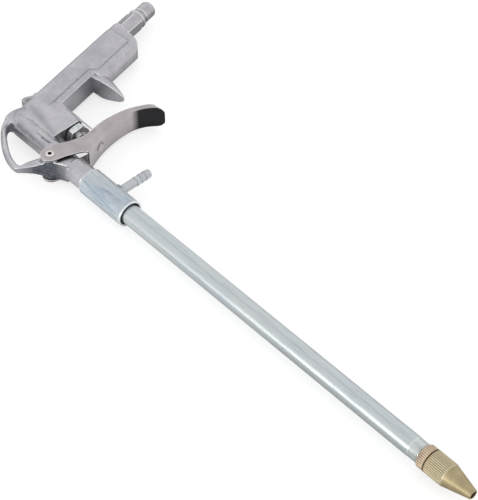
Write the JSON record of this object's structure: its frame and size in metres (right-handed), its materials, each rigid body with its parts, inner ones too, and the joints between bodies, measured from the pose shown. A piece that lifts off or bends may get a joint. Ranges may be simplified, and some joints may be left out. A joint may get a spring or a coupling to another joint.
{
  "type": "air siphon wash gun",
  "caption": "Trigger-operated compressed-air gun with a long lance, a siphon hose barb and an adjustable screw nozzle, used to spray solvent or cleaner on engine and car parts.",
  "frame": {"origin": "centre of the bounding box in plan, at floor level, with the gun lying on its right side", "axes": "+X along the lance towards the nozzle, +Y from the barrel towards the handle's end, +Z out of the gun's left side, up"},
  "size_m": [0.4876, 0.1872, 0.023],
  "materials": {
    "casting": "tumbled die casting, matte, slightly violet grey",
    "plug": "dull nickel plate",
    "lever": "polished pressed sheet, warm nickel",
    "rivet": "bright tubular rivet",
    "nut": "bright zinc plate",
    "zinc_tube": "pale blue zinc plate",
    "brass": "dull turned brass",
    "lock_brass": "dull reddish turned brass",
    "inner_brass": "turned brass",
    "steel": "bright",
    "seal": "nitrile rubber"
  },
  "bodies": {
    "gun": {"gun_body": "casting", "inlet_plug": "plug", "valve_nut": "nut", "nut_gasket": "seal", "stem_seal": "seal", "valve_spring": "steel", "lever_rivet": "rivet", "mixing_sleeve": "zinc_tube", "hose_barb": "zinc_tube", "air_jet": "inner_brass", "jet_seal": "seal", "tube_bush": "inner_brass", "lance_tube": "zinc_tube", "tube_seal": "seal", "nozzle_core": "inner_brass"},
    "trigger": {"lever": "lever"},
    "valve": {"valve_stem": "steel", "valve_poppet": "inner_brass", "poppet_seal": "seal"},
    "ring": {"lock_ring": "lock_brass"},
    "nozzle": {"nozzle_cap": "brass"}
  },
  "joints": [
    {"name": "trigger_pivot", "type": "hinge", "parent": "gun", "child": "trigger", "pos_m": [-0.15645, -0.07104, 0.0115], "axis": [0, 0, 1], "range_deg": [0, 7.5], "stiffness_Nm_per_rad": 1.1, "springref_deg": -14.32},
    {"name": "valve_slide", "type": "slide", "parent": "gun", "child": "valve", "axis": [1, 0, 0], "range_m": [-0.0042, 0], "deforming": ["valve_spring"]},
    {"name": "ring_travel", "type": "slide", "parent": "gun", "child": "ring", "axis": [1, 0, 0], "range_m": [-0.0031, 0.0011]},
    {"name": "nozzle_turn", "type": "hinge", "parent": "ring", "child": "nozzle", "pos_m": [0.20775, -0.06104, 0.0115], "axis": [1, 0, 0], "range_deg": [-1080, 360]}
  ],
  "couplings": [
    {"joint": "valve_slide", "follows": "trigger_pivot", "m_per_rad": -0.0303}
  ]
}
